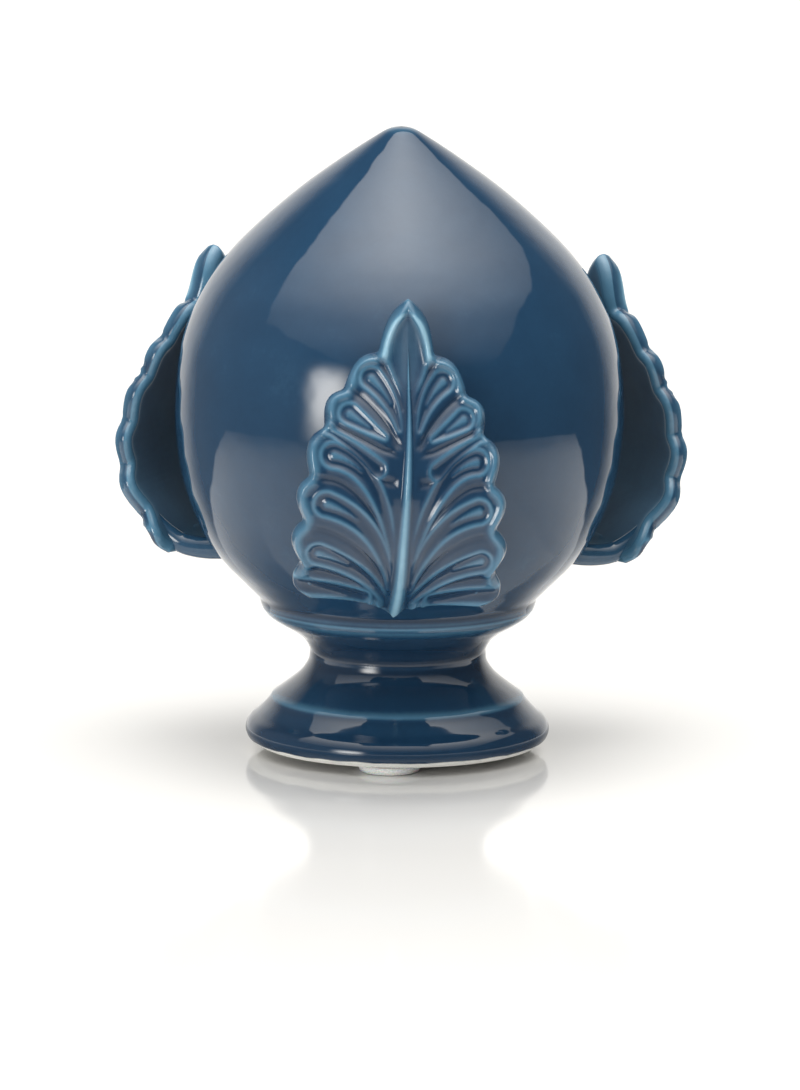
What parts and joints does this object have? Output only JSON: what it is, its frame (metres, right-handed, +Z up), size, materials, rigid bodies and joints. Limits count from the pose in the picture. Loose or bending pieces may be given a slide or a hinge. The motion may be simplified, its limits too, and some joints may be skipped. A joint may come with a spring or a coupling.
{
  "type": "porcelain bud finial",
  "caption": "Glossy blue porcelain finial: a pointed bud on a waisted round foot, with carved leaves standing off its sides; stands level on stick-on pads.",
  "frame": {"origin": "on the finial's axis, at the middle of the flat disc in its underside", "axes": "+Z up the axis to the bud's point, -Y towards the front leaf, +X to the right of someone who faces that leaf"},
  "size_m": [0.117, 0.1038, 0.1292],
  "materials": {
    "blue_glaze": "high-gloss denim-blue glaze that breaks lighter on the carved ridges, over cream porcelain that shows bare at the foot rim",
    "pad_silicone": "milky translucent silicone, satin"
  },
  "bodies": {
    "root": {"porcelain_finial": "blue_glaze", "bumper_pad_front": "pad_silicone", "bumper_pad_rear_right": "pad_silicone", "bumper_pad_rear_left": "pad_silicone"}
  },
  "joints": []
}
